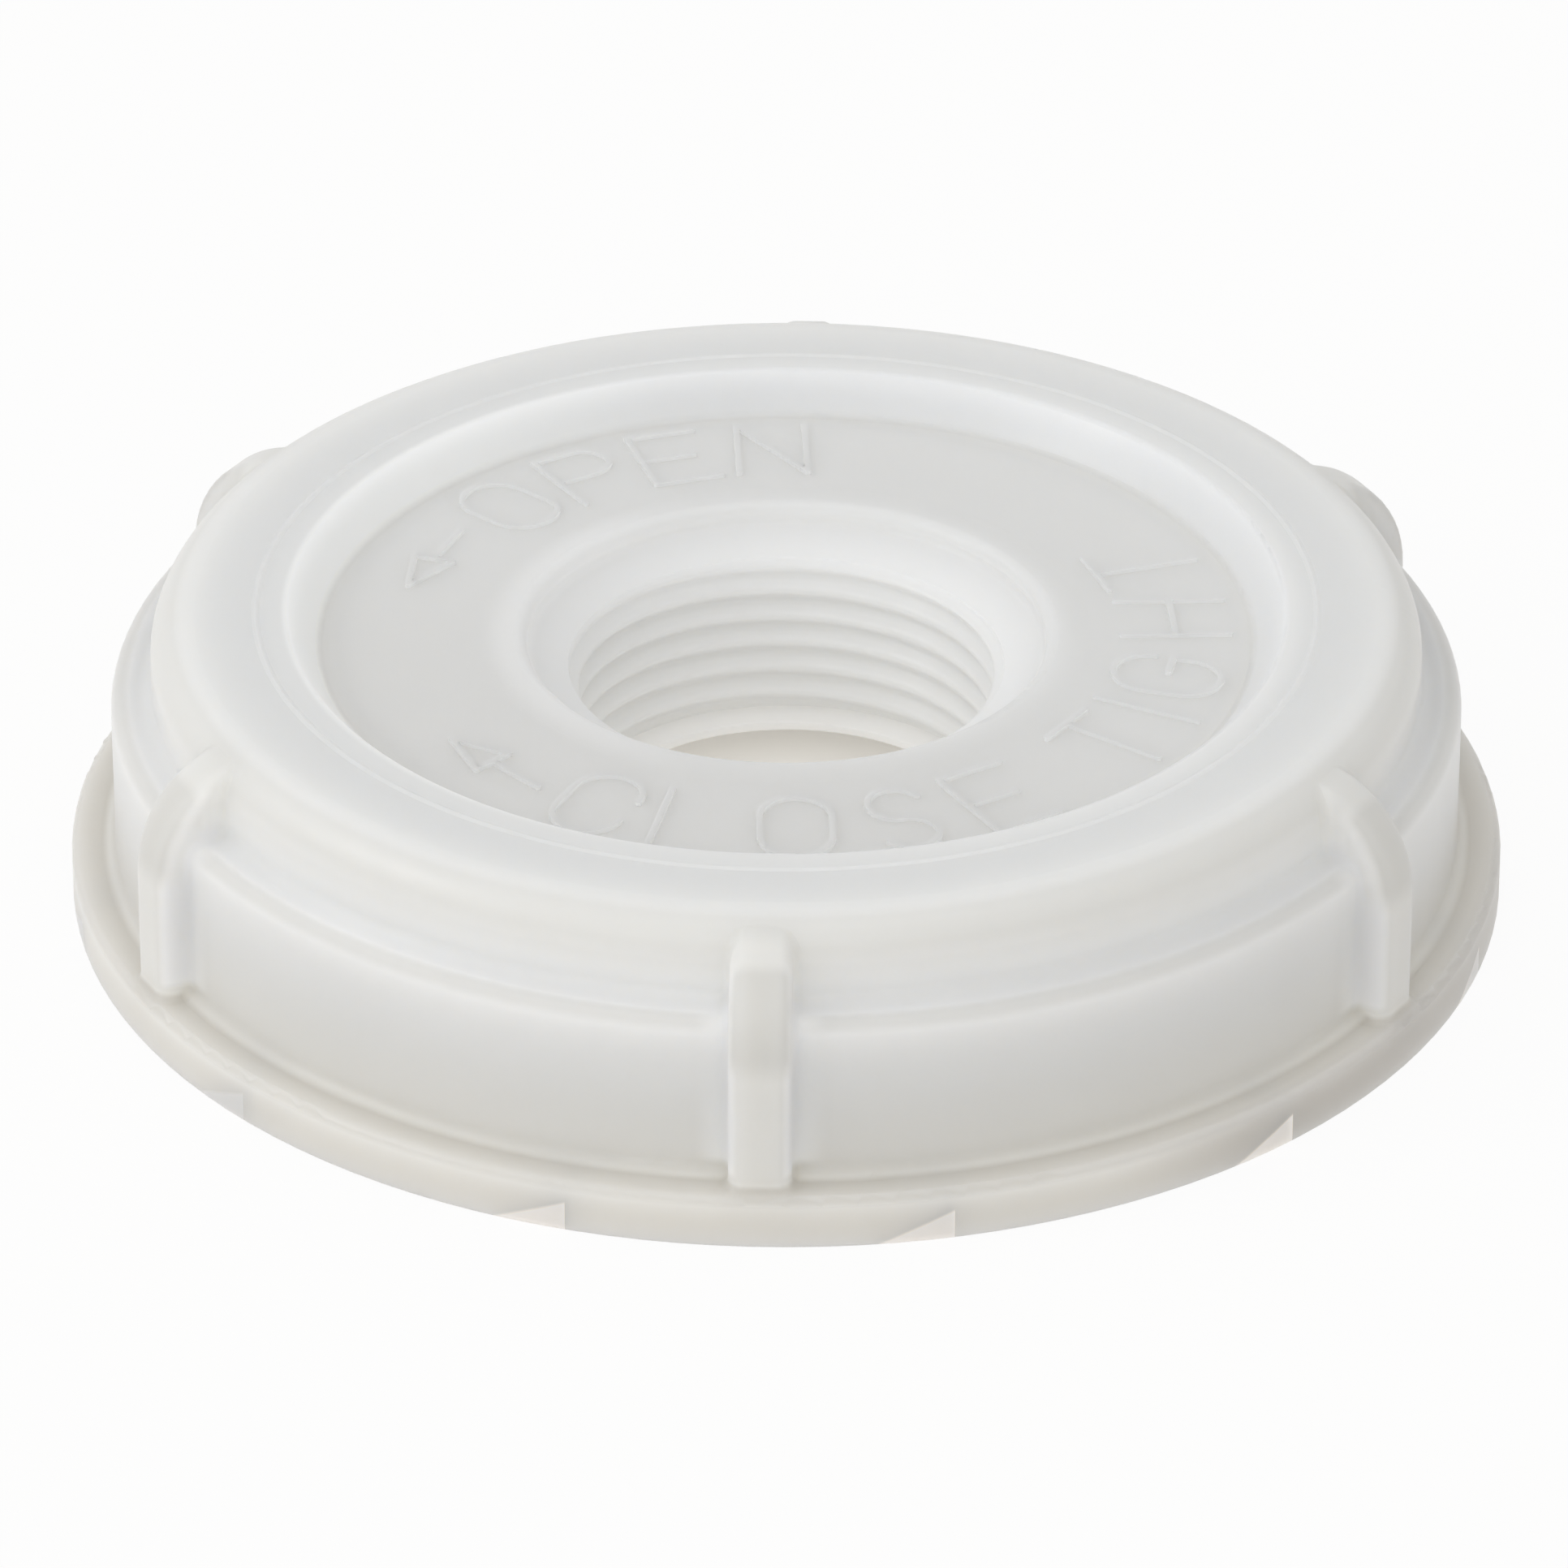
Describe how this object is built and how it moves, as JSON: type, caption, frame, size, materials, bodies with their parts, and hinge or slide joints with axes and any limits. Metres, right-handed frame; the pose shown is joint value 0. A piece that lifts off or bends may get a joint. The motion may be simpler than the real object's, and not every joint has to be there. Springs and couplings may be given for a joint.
{
  "type": "screw cap",
  "caption": "Round plastic screw cap for a wide container neck, with grip ribs, a base flange, a recessed top with OPEN and CLOSE TIGHT lettering and a threaded middle hole.",
  "frame": {"origin": "centre of the flange's underside, on the cap's axis", "axes": "+Z along the cap's axis, up through the middle hole; the front grip rib stands 2.1 degrees to the -X side of -Y, and CLOSE TIGHT reads upright for someone who looks along +Y"},
  "size_m": [0.088, 0.088, 0.0189],
  "materials": {
    "milky_plastic": "satin",
    "seal_foam": "matte"
  },
  "bodies": {
    "root": {"cap_body": "milky_plastic", "sealing_ring": "seal_foam"}
  },
  "joints": []
}
